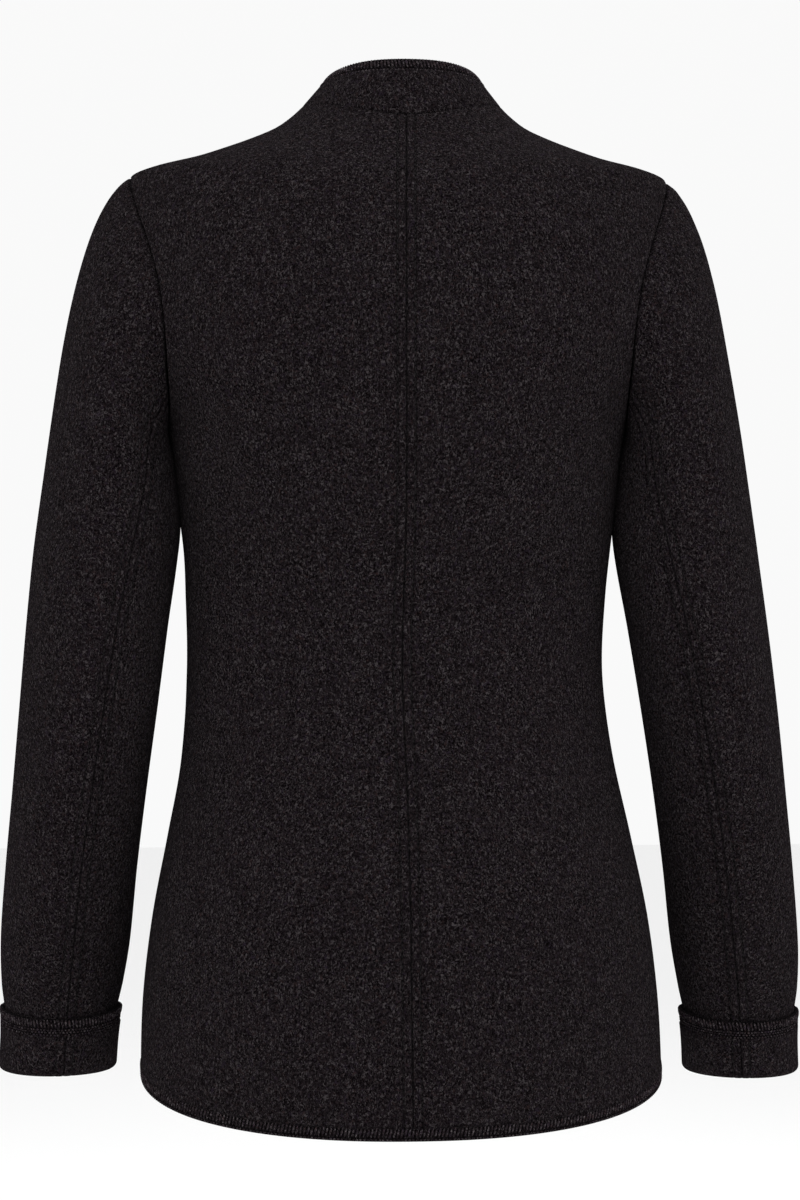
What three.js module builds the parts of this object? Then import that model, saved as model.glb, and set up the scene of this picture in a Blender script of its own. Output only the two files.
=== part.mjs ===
// A women's loden jacket of boiled wool with a stand collar, in the hollow shape it has when it is worn.
// Millimetres, +Z up. The wearer would face -Y, and the wearer's left is +X. The origin is in the middle of the
// neck opening, level with the points where the collar meets the shoulder seams.
import * as THREE from "three";
import { mergeVertices } from "three/addons/utils/BufferGeometryUtils.js";

// ---- Driving sizes -----------------------------------------------------------------------------------------
const CLOTH = 2.2; // thickness of the boiled wool
const SEAM_GAP = 0.3; // between two pieces that are sewn together
const EDGING = { wide: 9, proud: 0.5 }; // the knitted edging, and how far it stands off the cloth on both faces
const ROUND = 2.2; // exponent of every level section of the body: 2 is an ellipse, more is squarer
const HEM = { back: -703.8, side: -674, front: -697, power: 0.8 }; // the lower edge rises to the side seams
const ARMHOLE_ENDS = { underarm: -224, tip: -50 }; // lowest and highest point of the armhole
const NECK = { half: 70.8, back: 58, front: 80 }; // the neckline in plan
const LAP = { wide: 15, deep: 4.2, flat: 18, ramp: 45 }; // past centre front; the left front tucks under
const COLLAR = { half: 52.5, back: 50, front: 72, top: 27, side: 5, drop: 63, power: 1.6, corner: 18, gap: 0.6 };
const CUFF = { top: -636, backDip: 4, band: 12, clear: 1.1, flare: 0.6, returnTop: -668 };
const SLEEVE_END = -680;
const BUTTON = { radius: 10, thick: 4, stand: 1.2, shank: 3, x: 0 };
const BUTTON_HEIGHTS = [-88, -182, -277, -371, -466, -560];

// The body form: half width, and how far back and front stand off the side seam, at each height.
const BODY = [
  { z: -720, half: 182.6, back: 120, front: 121 },
  { z: -670, half: 182.8, back: 121, front: 121 },
  { z: -620, half: 180.6, back: 120, front: 119 },
  { z: -565, half: 173.8, back: 115, front: 115 },
  { z: -510, half: 162.8, back: 105, front: 111 },
  { z: -455, half: 151.8, back: 92, front: 106 },
  { z: -395, half: 146.2, back: 82, front: 104 },
  { z: -340, half: 147.8, back: 86, front: 112 },
  { z: -290, half: 151.6, back: 96, front: 124 },
  { z: -255, half: 155.2, back: 103, front: 130 },
  { z: -238, half: 157.3, back: 105.5, front: 131 },
  { z: -224, half: 160, back: 107.5, front: 130.5 },
  { z: -210, half: 164, back: 109.2, front: 129 },
  { z: -195, half: 169.5, back: 110.6, front: 126.5 },
  { z: -178, half: 175.8, back: 111.5, front: 122.5 },
  { z: -155, half: 182.8, back: 111, front: 116 },
  { z: -125, half: 188.6, back: 107.8, front: 105.5 },
  { z: -95, half: 191.8, back: 101.5, front: 92.5 },
  { z: -70, half: 191.5, back: 93.5, front: 79.5 },
  { z: -50, half: 188, back: 84.5, front: 69 },
  { z: -44, half: 174.5, back: 79.5, front: 64.5 },
  { z: -37.5, half: 148, back: 75, front: 60.5 },
  { z: -30.5, half: 126.5, back: 70, front: 56.5 },
  { z: -23.5, half: 107.5, back: 65, front: 52.5 },
  { z: -16, half: 90.5, back: 60.5, front: 48.5 },
  { z: -8, half: 79.2, back: 55.5, front: 44.5 },
  { z: 0, half: 70.8, back: 50, front: 40 },
  { z: 6, half: 66, back: 46, front: 36 },
];

// Levels of the panel points between the hem and the underarm.
const BODY_LEVELS = [-655, -607, -560, -513, -466, -418, -371, -324, -277];

// The armhole: how far its back and front edges lie from the middle.
const ARMHOLE = [
  { z: -224, back: 160, front: 160 },
  { z: -210, back: 159.2, front: 159 },
  { z: -190, back: 160.2, front: 158.6 },
  { z: -160, back: 162, front: 160.4 },
  { z: -130, back: 166, front: 164.5 },
  { z: -100, back: 174, front: 172.5 },
  { z: -75, back: 182.6, front: 181.6 },
  { z: -60, back: 186.8, front: 186.4 },
  { z: -50, back: 188, front: 188 },
];

// The left sleeve below the underarm: its centre line and its half width and half depth.
const SLEEVE = [
  { z: -250, x: 201.5, y: 1, half: 44.7, deep: 60 },
  { z: -280, x: 201.8, y: 3, half: 48.4, deep: 59.5 },
  { z: -310, x: 203.8, y: 5, half: 50.3, deep: 58.5 },
  { z: -365, x: 211.1, y: 7, half: 49.2, deep: 56 },
  { z: -421, x: 218.3, y: 5, half: 48, deep: 53 },
  { z: -478, x: 225.8, y: -3, half: 46.8, deep: 50.5 },
  { z: -534, x: 233, y: -14, half: 46.2, deep: 48.5 },
  { z: -588, x: 239, y: -27, half: 45.6, deep: 47 },
  { z: -620, x: 242.2, y: -34.5, half: 42.8, deep: 44.5 },
  { z: -645, x: 244, y: -40, half: 38.9, deep: 42 },
  { z: -684, x: 247, y: -49, half: 38.7, deep: 42 },
];

// The jacket isn't quite even: how far the body and the sleeves lean to the wearer's left, and how much higher the
// left sleeve and lower the right one hang.
const SETTLE = [
  { z: 27, body: -1.5, sleeve: -1.5, lift: 0 },
  { z: -21, body: 0, sleeve: 0, lift: 0 },
  { z: -70, body: 2, sleeve: 2, lift: 0 },
  { z: -110, body: 2.6, sleeve: 2.6, lift: 0 },
  { z: -169, body: 3.1, sleeve: 3.1, lift: 0 },
  { z: -225, body: 2.5, sleeve: 2.5, lift: 0 },
  { z: -250, body: 2.4, sleeve: 2.4, lift: 0 },
  { z: -310, body: 2.4, sleeve: 2.4, lift: 0.2 },
  { z: -345, body: 3.4, sleeve: 1.8, lift: 0.5 },
  { z: -394, body: 4, sleeve: 0.7, lift: 1 },
  { z: -425, body: 3.2, sleeve: 0, lift: 1.4 },
  { z: -480, body: 1.4, sleeve: -1, lift: 2 },
  { z: -563, body: 0.3, sleeve: -2.4, lift: 2.8 },
  { z: -620, body: 0, sleeve: -3.5, lift: 3.2 },
  { z: -700, body: -1, sleeve: -3.6, lift: 3.2 },
];

// Where the elbow and forearm seams run, in degrees round the sleeve from the side next to the body.
const SLEEVE_SEAMS = [
  { z: -195, elbow: 41, forearm: 50 },
  { z: -250, elbow: 52, forearm: 52 },
  { z: -310, elbow: 66.5, forearm: 54 },
  { z: -478, elbow: 77, forearm: 58 },
  { z: -684, elbow: 81, forearm: 60 },
];

// Columns of points: round the sleeve head, over the neck and the shoulder, and across half a panel.
const HEAD_STEPS = [0, 0.14, 0.28, 0.42, 0.56, 0.69, 0.81, 0.91, 1];
const LEVEL_HEAD_STEPS = 4; // of the head steps, how many are at level rows of the panels
const UNDER_STEPS = [0, 0.25, 0.5, 0.75, 1];
const NECK_STEP = 18;
const PANEL_STEPS = [0, 0.07, 0.14, 0.21, 0.28, 0.35, 0.45, 0.55, 0.66, 0.77, 0.89, 1];
const SHOULDER_STEPS = [0, 0.14, 0.29, 0.46, 0.64, 0.83, 1];
const CAP_STEPS = [0, 0.14, 0.32, 0.54, 0.77, 1];

// ---- Small helpers -----------------------------------------------------------------------------------------
const rad = THREE.MathUtils.degToRad;
const lerp = THREE.MathUtils.lerp;
const vec = (x, y, z) => new THREE.Vector3(x, y, z);
const signedPower = (value, power) => Math.sign(value) * Math.abs(value) ** power;

// Reads one column of a table at a height, on a smooth curve through its rows.
function at(table, column, z) {
  const rows = table[0].z < table[1].z ? table : [...table].reverse();
  const above = rows.findIndex((row) => row.z > z);
  const i = above < 0 ? rows.length - 2 : Math.max(0, above - 1);
  const slope = (k) => {
    const low = rows[Math.max(0, k - 1)];
    const high = rows[Math.min(rows.length - 1, k + 1)];
    return (high[column] - low[column]) / (high.z - low.z);
  };
  const span = rows[i + 1].z - rows[i].z;
  const t = THREE.MathUtils.clamp((z - rows[i].z) / span, 0, 1);
  const ends = rows[i][column] * (1 + 2 * t) * (1 - t) ** 2 + rows[i + 1][column] * (3 - 2 * t) * t ** 2;
  return ends + span * t * (1 - t) * (slope(i) * (1 - t) - slope(i + 1) * t);
}

// Turns matching grids of outside and inside points into one closed wall. A ring joins its last column to its first.
function wall(outer, inner, ring = false) {
  const rows = outer.length;
  const columns = outer[0].length;
  const points = [...outer, ...inner].flat();
  const index = (layer, r, c) => (layer * rows + r) * columns + (c % columns);
  const faces = [];
  const quad = (a, b, c, d) => faces.push(a, b, c, a, c, d);
  const across = ring ? columns : columns - 1;
  for (let r = 0; r < rows - 1; r += 1) {
    for (let c = 0; c < across; c += 1) {
      quad(index(0, r, c), index(0, r, c + 1), index(0, r + 1, c + 1), index(0, r + 1, c));
      quad(index(1, r, c), index(1, r + 1, c), index(1, r + 1, c + 1), index(1, r, c + 1));
    }
  }
  for (let c = 0; c < across; c += 1) {
    quad(index(0, 0, c), index(1, 0, c), index(1, 0, c + 1), index(0, 0, c + 1));
    quad(index(0, rows - 1, c), index(0, rows - 1, c + 1), index(1, rows - 1, c + 1), index(1, rows - 1, c));
  }
  for (let r = 0; r < rows - 1 && !ring; r += 1) {
    quad(index(0, r, 0), index(0, r + 1, 0), index(1, r + 1, 0), index(1, r, 0));
    quad(index(0, r, columns - 1), index(1, r, columns - 1), index(1, r + 1, columns - 1), index(0, r + 1, columns - 1));
  }
  return closed(points, faces);
}

// Makes a mesh from points and faces, and turns it so that its faces look out.
function closed(points, faces) {
  let volume = 0;
  for (let i = 0; i < faces.length; i += 3) {
    const [a, b, c] = [points[faces[i]], points[faces[i + 1]], points[faces[i + 2]]];
    volume += a.dot(b.clone().cross(c)) / 6;
  }
  const geometry = new THREE.BufferGeometry();
  geometry.setAttribute("position", new THREE.Float32BufferAttribute(points.flatMap((p) => p.toArray()), 3));
  geometry.setIndex(volume < 0 ? faces.reverse() : faces);
  return geometry;
}

// The same shape on the other side of the middle.
function mirrored(geometry) {
  const copy = geometry.clone();
  copy.scale(-1, 1, 1);
  copy.setIndex([...copy.index.array].reverse());
  return copy;
}

// ---- The body form -----------------------------------------------------------------------------------------
const depthColumn = (face) => (face > 0 ? "back" : "front");

// How far the left front is pressed in to tuck under the right front.
function tuck(x, face) {
  if (face > 0 || x > LAP.flat + LAP.ramp) return 0;
  const t = THREE.MathUtils.smoothstep(x, LAP.flat, LAP.flat + LAP.ramp);
  return LAP.deep * (1 - t);
}

// Moves a point of the form in along its normal, and keeps it half a seam gap off the seams at the sides.
function skin(x, y, z, face, inward) {
  const half = at(BODY, "half", z);
  const deep = at(BODY, depthColumn(face), z);
  const slope = (column) => (at(BODY, column, z + 1) - at(BODY, column, z - 1)) / 2;
  const u = Math.abs(x) / half;
  const v = Math.abs(y) / deep;
  const rise = (u ** ROUND * slope("half")) / half + (v ** ROUND * slope(depthColumn(face))) / deep;
  const normal = vec((Math.sign(x) * u ** (ROUND - 1)) / half, (face * v ** (ROUND - 1)) / deep, -rise).normalize();
  const start = vec(x, face * Math.max(Math.abs(y), SEAM_GAP / 2), z);
  return start.addScaledVector(normal, -inward);
}

// The depth of the form at a distance from the middle.
function depthAt(x, z, face) {
  const u = Math.min(1, Math.abs(x) / at(BODY, "half", z));
  return face * at(BODY, depthColumn(face), z) * (1 - u ** ROUND) ** (1 / ROUND);
}

// The angle at which a level section of the form reaches a distance from the middle.
function angleAt(x, z) {
  const u = THREE.MathUtils.clamp(x / at(BODY, "half", z), -1, 1);
  return THREE.MathUtils.radToDeg(Math.asin(signedPower(u, ROUND / 2)));
}

const acrossAt = (angle, z) => at(BODY, "half", z) * signedPower(Math.sin(rad(angle)), 2 / ROUND);
const hemAt = (angle, face) =>
  lerp(HEM.side, face > 0 ? HEM.back : HEM.front, Math.abs(Math.cos(rad(angle))) ** HEM.power);

// The height at which a rising form has shrunk to a point in plan.
function heightAt(x, y, face) {
  let [low, high] = [-120, 6];
  for (let i = 0; i < 40; i += 1) {
    const middle = (low + high) / 2;
    const u = Math.abs(x) / at(BODY, "half", middle);
    const v = Math.abs(y) / at(BODY, depthColumn(face), middle);
    if (u ** ROUND + v ** ROUND < 1) low = middle;
    else high = middle;
  }
  return low;
}

// The neckline, straight between its points; 0 degrees is the centre back and 180 the centre front.
function neckline(angle) {
  const knot = (k) => {
    const x = NECK.half * Math.sin(rad(k * NECK_STEP));
    const turn = Math.cos(rad(k * NECK_STEP));
    const y = turn * (turn > 0 ? NECK.back : NECK.front);
    return vec(x, y, heightAt(x, y, turn > -1e-9 ? 1 : -1));
  };
  const k = Math.floor(angle / NECK_STEP + 1e-9);
  return knot(k).lerp(knot(k + 1), angle / NECK_STEP - k);
}

// The armhole; 0 degrees is the underarm, 90 the back, 180 the shoulder tip and 270 the front.
function armhole(angle) {
  const z = lerp(ARMHOLE_ENDS.underarm, ARMHOLE_ENDS.tip, (1 - Math.cos(rad(angle))) / 2);
  const face = Math.sin(rad(angle)) > -1e-9 ? 1 : -1;
  const x = at(ARMHOLE, depthColumn(face), z);
  return vec(x, depthAt(x, z, face), z);
}

// ---- Body panels -------------------------------------------------------------------------------------------
// The heights at which a panel meets the points of the sleeve head, from the underarm to the shoulder tip.
function armholeLevels(face) {
  const seam = face > 0 ? SLEEVE_SEAMS[0].elbow : SLEEVE_SEAMS[0].forearm;
  const angles = [...UNDER_STEPS.slice(0, -1).map((f) => f * seam), ...HEAD_STEPS.map((f) => lerp(seam, 180, f))];
  return angles.map((angle) => armhole(angle).z);
}

// The points of a panel's top edge: along the neckline, then down the shoulder seam.
function topEdge(face) {
  const neck = [0, 1, 2, 3, 4].map((k) => neckline(face > 0 ? k * NECK_STEP : 180 - k * NECK_STEP));
  const shoulder = SHOULDER_STEPS.map((f) => {
    const x = lerp(NECK.half, at(BODY, "half", ARMHOLE_ENDS.tip), f);
    return vec(x, 0, heightAt(x, 0, face));
  });
  shoulder[shoulder.length - 1].z = ARMHOLE_ENDS.tip;
  return [...neck, ...shoulder];
}

// One panel of the body. Its lap, if it has one, runs past the middle to a strip that the edging goes on.
function panel(side, face) {
  const lap = face > 0 ? null : LAP.wide - EDGING.wide - SEAM_GAP;
  const level = (z, limit) => {
    const edge = limit ? angleAt(at(ARMHOLE, depthColumn(face), z), z) : 90;
    const angles = PANEL_STEPS.map((f) => f * edge);
    if (lap) angles.unshift(-angleAt(lap, z));
    return angles.map((angle) => [acrossAt(angle, z), z]);
  };
  const bottom = level(HEM.side, false).map(([x]) => {
    const angle = angleAt(x, HEM.side);
    const z = hemAt(angle, face) + EDGING.wide + SEAM_GAP;
    return [acrossAt(angle, z), z];
  });
  const levels = armholeLevels(face);
  const split = UNDER_STEPS.length - 1 + LEVEL_HEAD_STEPS;
  const rows = [bottom, ...BODY_LEVELS.map((z) => level(z, false)), ...levels.slice(0, split).map((z) => level(z, true))];
  const base = rows[rows.length - 1];
  const top = topEdge(face).map((p) => [p.x, p.z]);
  if (lap) top.unshift([-lap, neckline(180 - (lap / NECK.half) * (180 / Math.PI)).z]);
  const armEdge = (z) => at(ARMHOLE, depthColumn(face), z);
  for (const z of levels.slice(split)) {
    const t = (z - levels[split - 1]) / (ARMHOLE_ENDS.tip - levels[split - 1]);
    const share = (c) => lerp(base[c][0] / armEdge(levels[split - 1]), top[c][0] / armEdge(ARMHOLE_ENDS.tip), t);
    rows.push(base.map((_, c) => [share(c) * armEdge(z), lerp(base[c][1], top[c][1], t)]));
  }
  const layer = (inward) =>
    rows.map((row) =>
      row.map(([x, z], c) => {
        const across = side * (face > 0 && c === 0 ? SEAM_GAP / 2 : x);
        const press = side > 0 ? tuck(x, face) : 0;
        return skin(across, depthAt(x, z, face), z, face, inward + press);
      }),
    );
  return wall(layer(0), layer(CLOTH));
}

// ---- Sleeves -----------------------------------------------------------------------------------------------
// A point of the left sleeve. Down is 0 at the armhole, 1 at the first row of the table, then 1 more every 100 mm.
function sleevePoint(angle, down) {
  const level = (z) =>
    vec(
      at(SLEEVE, "x", z) - at(SLEEVE, "half", z) * Math.cos(rad(angle)),
      at(SLEEVE, "y", z) + at(SLEEVE, "deep", z) * Math.sin(rad(angle)),
      z,
    );
  if (down > 1) return level(SLEEVE[0].z - (down - 1) * 100);
  const start = armhole(angle).add(vec(SEAM_GAP, 0, 0));
  const end = level(SLEEVE[0].z);
  const reach = start.distanceTo(end);
  const out = (1 - Math.cos(rad(angle))) / 2;
  const fall = rad(30 + 54 * (1 - out) ** 2.5);
  const first = vec(Math.cos(fall), 0, -Math.sin(fall)).multiplyScalar(reach * lerp(0.36, 0.145, out * out));
  const last = end.clone().sub(level(SLEEVE[0].z - 20)).setLength(reach * lerp(0.3, 0.58, out));
  return new THREE.CubicBezierCurve3(start, start.clone().add(first), end.clone().add(last), end).getPoint(down);
}

// A point at a distance outside the sleeve's surface, or inside it.
function sleeveSkin(angle, down, outward) {
  const low = Math.max(0, down - 0.01);
  const round = sleevePoint(angle + 1, down).sub(sleevePoint(angle - 1, down));
  const along = sleevePoint(angle, down + 0.01).sub(sleevePoint(angle, low));
  return sleevePoint(angle, down).addScaledVector(round.cross(along).normalize(), outward);
}

const downAt = (z) => 1 + (SLEEVE[0].z - z) / 100;

// The angle of the elbow seam, or of the forearm seam in front.
function sleeveSeam(name, down) {
  const z = down < 1 ? lerp(SLEEVE_SEAMS[0].z, SLEEVE_SEAMS[1].z, down) : SLEEVE[0].z - (down - 1) * 100;
  return at(SLEEVE_SEAMS, name, z);
}

const SLEEVE_ROWS = [...CAP_STEPS, ...SLEEVE.slice(1, -1).map((row) => downAt(row.z)), downAt(SLEEVE_END)];

// One part of the left sleeve: the upper one goes over the shoulder tip and the under one over the underarm.
function sleeve(upper) {
  const gap = (SEAM_GAP / 2 / SLEEVE[5].deep) * (180 / Math.PI);
  const angles = (down) => {
    const elbow = sleeveSeam("elbow", down);
    const forearm = sleeveSeam("forearm", down);
    if (!upper) {
      const front = UNDER_STEPS.slice(1).map((f) => -f * (forearm - gap));
      return [...front.reverse(), ...UNDER_STEPS.map((f) => f * (elbow - gap))];
    }
    const back = HEAD_STEPS.map((f) => lerp(elbow + gap, 180, f));
    const front = HEAD_STEPS.slice(0, -1).map((f) => lerp(360 - forearm - gap, 180, f));
    return [...back, ...front.reverse()];
  };
  const layer = (outward) => SLEEVE_ROWS.map((down) => angles(down).map((angle) => sleeveSkin(angle, down, outward)));
  return wall(layer(0), layer(-CLOTH));
}

// A ring round the left sleeve, from a cross-section of [outward, height, share of the dip at the back].
function sleeveRing(section, columns) {
  const rows = [...section, section[0]].map(([outward, z, dip]) =>
    Array.from({ length: columns }, (_, c) => {
      const angle = (c * 360) / columns;
      const low = z - dip * CUFF.backDip * Math.max(0, Math.sin(rad(angle)));
      return sleeveSkin(angle, downAt(low), outward);
    }),
  );
  const points = rows.slice(0, -1).flat();
  const faces = [];
  for (let r = 0; r < section.length; r += 1) {
    for (let c = 0; c < columns; c += 1) {
      const [r1, c1] = [(r + 1) % section.length, (c + 1) % columns];
      const [a, b, d, e] = [r * columns + c, r * columns + c1, r1 * columns + c1, r1 * columns + c];
      faces.push(a, b, d, a, d, e);
    }
  }
  return closed(points, faces);
}

// The turned-back cuff: an outer layer that folds round the end of the sleeve and returns inside it.
function cuff() {
  const top = CUFF.top - CUFF.band - SEAM_GAP;
  const flared = CUFF.clear + CUFF.flare;
  const inside = -CLOTH - CUFF.clear;
  return sleeveRing(
    [
      [flared + CLOTH, top, 1],
      [CUFF.clear + CLOTH, SLEEVE_END + 1, 0],
      [CUFF.clear, SLEEVE_END - 2.6, 0],
      [inside, SLEEVE_END - 2.6, 0],
      [inside - CLOTH, SLEEVE_END + 1, 0],
      [inside - CLOTH, CUFF.returnTop, 0],
      [inside, CUFF.returnTop, 0],
      [inside, SLEEVE_END - SEAM_GAP, 0],
      [CUFF.clear, SLEEVE_END - SEAM_GAP, 0],
      [flared, top, 1],
    ],
    24,
  );
}

// The knitted edging on the upper edge of the cuff.
function cuffEdging() {
  const inside = CUFF.clear + CUFF.flare - EDGING.proud;
  const outside = CUFF.clear + CUFF.flare + CLOTH + EDGING.proud;
  const bottom = CUFF.top - CUFF.band;
  return sleeveRing([[inside, CUFF.top, 1], [outside, CUFF.top, 1], [outside, bottom, 1], [inside, bottom, 1]], 24);
}

// ---- Collar ------------------------------------------------------------------------------------------------
// A point of the collar: angle round the neck, share of its height, and how far outside its surface.
function collarPoint(side, angle, share) {
  const turn = Math.cos(rad(angle));
  const front = Math.max(0, -turn);
  const bottom = neckline(angle).add(vec(0, 0, SEAM_GAP));
  const x = COLLAR.half * Math.sin(rad(angle));
  const y = turn * (turn > 0 ? COLLAR.back : COLLAR.front);
  const fall = COLLAR.side * Math.sin(rad(angle)) ** 4 + COLLAR.drop * Math.max(angle / 90 - 1, 0) ** COLLAR.power;
  const top = vec(x, y, COLLAR.top - fall);
  const point = bottom.lerp(top, share);
  if (side > 0 && front > 0) point.y += tuck(point.x, -1);
  point.x *= side;
  return point;
}

function collarSkin(side, angle, share, outward) {
  const low = Math.max(0, angle - 1);
  const round = collarPoint(side, Math.min(179.9, angle + 1), share).sub(collarPoint(side, low, share));
  const up = collarPoint(side, angle, share + 0.05).sub(collarPoint(side, angle, share - 0.05));
  const normal = round.cross(up).normalize().multiplyScalar(side);
  if (angle === 0) normal.x = 0;
  return collarPoint(side, angle, share).addScaledVector(normal, -outward);
}

const collarHeight = (angle) => collarPoint(-1, angle, 0).distanceTo(collarPoint(-1, angle, 1));
const collarAngle = (a) => 180 - THREE.MathUtils.radToDeg(Math.asin((COLLAR.gap + a) / NECK.half));

// The outline of half a collar at a distance in from its edge, from the front end round to the centre back.
function collarOutline(inset) {
  const r = COLLAR.corner;
  const height = collarHeight(180 - NECK_STEP);
  const turns = [0, 22.5, 45, 67.5, 90];
  const corner = turns.map((turn) => [
    r - (r - inset) * Math.cos(rad(turn)),
    height - r + (r - inset) * Math.sin(rad(turn)),
  ]);
  const end = [[inset, 0], ...corner].map(([a, b]) => [collarAngle(a), b / height]);
  const rest = [8, 7, 6, 5, 4, 3, 2, 1, 0].map((k) => {
    const angle = k * NECK_STEP;
    return [angle, 1 - inset / collarHeight(angle)];
  });
  return [...end, ...rest];
}

const bothSides = (half) => [
  ...half.map(([angle, share]) => [-1, angle, share]),
  ...half.slice(0, -1).reverse().map(([angle, share]) => [1, angle, share]),
];

function collar() {
  const edge = bothSides(collarOutline(EDGING.wide + SEAM_GAP).slice(1));
  const layer = (outward) =>
    [0, 0.33, 0.67, 1].map((f) => edge.map(([side, angle, share]) => collarSkin(side, angle, share * f, outward)));
  return wall(layer(0), layer(-CLOTH));
}

function collarEdging() {
  const inner = bothSides(collarOutline(EDGING.wide));
  const outer = bothSides(collarOutline(0));
  const layer = (outward) =>
    [inner, outer].map((line) => line.map(([side, angle, share]) => collarSkin(side, angle, share, outward)));
  return wall(layer(EDGING.proud), layer(-CLOTH - EDGING.proud));
}

// ---- Edging on the body ------------------------------------------------------------------------------------
// The hem edging, in one length from the right front edge round the back to the left front edge.
function hemEdging() {
  const lapAngle = angleAt(LAP.wide, HEM.front);
  const quarter = PANEL_STEPS.map((f) => f * 90);
  const front = [-lapAngle, ...quarter];
  const stations = [
    ...front.map((angle) => [-1, -1, angle]),
    ...quarter.slice(0, -1).reverse().map((angle) => [-1, 1, angle]),
    ...quarter.slice(1).map((angle) => [1, 1, angle]),
    ...front.slice(0, -1).reverse().map((angle) => [1, -1, angle]),
  ];
  const point = ([side, face, angle], up, outward) => {
    const z = hemAt(angle, face) + up;
    const x = acrossAt(angle, z);
    const press = side > 0 ? tuck(x, face) : 0;
    const y = Math.abs(angle) === 90 ? 0 : depthAt(x, z, face);
    return skin(side * x, y, z, face, press - outward);
  };
  const layer = (outward) => [0, EDGING.wide].map((up) => stations.map((station) => point(station, up, outward)));
  return wall(layer(EDGING.proud), layer(-CLOTH - EDGING.proud));
}

// The edging up one front edge, from the hem edging to the neckline.
function frontEdging(side) {
  const edges = [LAP.wide - EDGING.wide, LAP.wide];
  const levels = [...BODY_LEVELS, ARMHOLE_ENDS.underarm, -172, -118];
  const bottom = (x) => hemAt(angleAt(x, HEM.front), -1) + EDGING.wide + SEAM_GAP;
  const neck = (x) => neckline(180 - (x / NECK.half) * (180 / Math.PI)).z;
  const column = (x, outward) =>
    [bottom(x), ...levels, neck(x)].map((z) =>
      skin(-side * x, depthAt(x, z, -1), z, -1, (side > 0 ? LAP.deep : 0) - outward),
    );
  const layer = (outward) => edges.map((x) => column(x, outward));
  return wall(layer(EDGING.proud), layer(-CLOTH - EDGING.proud));
}

// ---- Buttons -----------------------------------------------------------------------------------------------
// A round button on a thread shank, standing on the right front.
function button(z) {
  const { radius, thick, stand, shank } = BUTTON;
  const profile = [
    [0, SEAM_GAP],
    [shank, SEAM_GAP],
    [shank, stand],
    [radius * 0.8, stand],
    [radius, stand + thick * 0.45],
    [radius * 0.93, stand + thick],
    [radius * 0.72, stand + thick],
    [radius * 0.6, stand + thick * 0.75],
    [0, stand + thick * 0.75],
  ];
  const shape = new THREE.LatheGeometry(profile.map(([x, y]) => new THREE.Vector2(x, y)), 20);
  shape.deleteAttribute("uv");
  shape.deleteAttribute("normal");
  const geometry = mergeVertices(shape, 1e-3);
  const foot = skin(BUTTON.x, depthAt(0, z, -1), z, -1, 0);
  const outward = skin(BUTTON.x, depthAt(0, z, -1), z, -1, -1).sub(foot);
  geometry.applyQuaternion(new THREE.Quaternion().setFromUnitVectors(vec(0, 1, 0), outward));
  geometry.translate(foot.x, foot.y, foot.z);
  return geometry;
}

// ---- The jacket --------------------------------------------------------------------------------------------
const WOOL = { color: 0x1f1b1d, roughness: 0.95, metalness: 0 };
const KNIT = { color: 0x262123, roughness: 0.92, metalness: 0 };
const HORN = { color: 0x2b211b, roughness: 0.35, metalness: 0 };

// Moves a piece to the place it settles in.
function settled(name, geometry) {
  const onArm = /sleeve|cuff/.test(name);
  const side = name.endsWith("left") ? 1 : -1;
  const place = geometry.getAttribute("position");
  for (let i = 0; i < place.count; i += 1) {
    const z = place.getZ(i);
    place.setX(i, place.getX(i) + at(SETTLE, onArm ? "sleeve" : "body", z));
    place.setZ(i, z + (onArm ? side * at(SETTLE, "lift", z) : 0));
  }
  return geometry;
}

const jacket = new THREE.Group();
jacket.name = "loden_jacket";

function add(name, geometry, look) {
  const flat = settled(name, geometry).toNonIndexed();
  flat.computeVertexNormals();
  const mesh = new THREE.Mesh(flat, new THREE.MeshStandardMaterial(look));
  mesh.name = name;
  jacket.add(mesh);
}

const pairs = {
  sleeve_upper: [sleeve(true), WOOL],
  sleeve_under: [sleeve(false), WOOL],
  cuff: [cuff(), WOOL],
  edging_cuff: [cuffEdging(), KNIT],
};

add("back_left", panel(1, 1), WOOL);
add("back_right", panel(-1, 1), WOOL);
add("front_left", panel(1, -1), WOOL);
add("front_right", panel(-1, -1), WOOL);
for (const [name, [geometry, look]] of Object.entries(pairs)) {
  const other = mirrored(geometry);
  add(`${name}_left`, geometry, look);
  add(`${name}_right`, other, look);
}
add("collar", collar(), WOOL);
add("edging_collar", collarEdging(), KNIT);
add("edging_hem", hemEdging(), KNIT);
add("edging_front_left", frontEdging(1), KNIT);
add("edging_front_right", frontEdging(-1), KNIT);
BUTTON_HEIGHTS.forEach((z, i) => add(`button_${i + 1}`, button(z), HORN));

export default jacket;
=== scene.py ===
import math

import bmesh
import bpy
import numpy as np
from mathutils import Matrix, Vector


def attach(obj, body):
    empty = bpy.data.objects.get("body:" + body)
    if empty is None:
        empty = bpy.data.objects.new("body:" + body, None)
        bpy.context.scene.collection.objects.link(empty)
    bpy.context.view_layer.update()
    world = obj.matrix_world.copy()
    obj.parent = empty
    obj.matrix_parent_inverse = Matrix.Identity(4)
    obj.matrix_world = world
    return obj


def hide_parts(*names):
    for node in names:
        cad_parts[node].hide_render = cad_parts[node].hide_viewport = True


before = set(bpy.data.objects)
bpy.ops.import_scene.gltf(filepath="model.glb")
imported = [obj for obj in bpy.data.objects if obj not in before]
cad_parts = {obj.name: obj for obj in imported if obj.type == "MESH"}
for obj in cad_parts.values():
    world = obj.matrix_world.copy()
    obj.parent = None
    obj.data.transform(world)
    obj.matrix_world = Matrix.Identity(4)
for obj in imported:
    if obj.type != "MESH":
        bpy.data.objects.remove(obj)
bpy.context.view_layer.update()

# ---- The studio -----------------------------------------------------------------------------------------
# The jacket is filled out and shown from behind, over a pale floor in soft light. The camera stands two
# metres away, level with the small of the back and a little to the wearer's left.
EYE_LEVEL = -0.345
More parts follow.
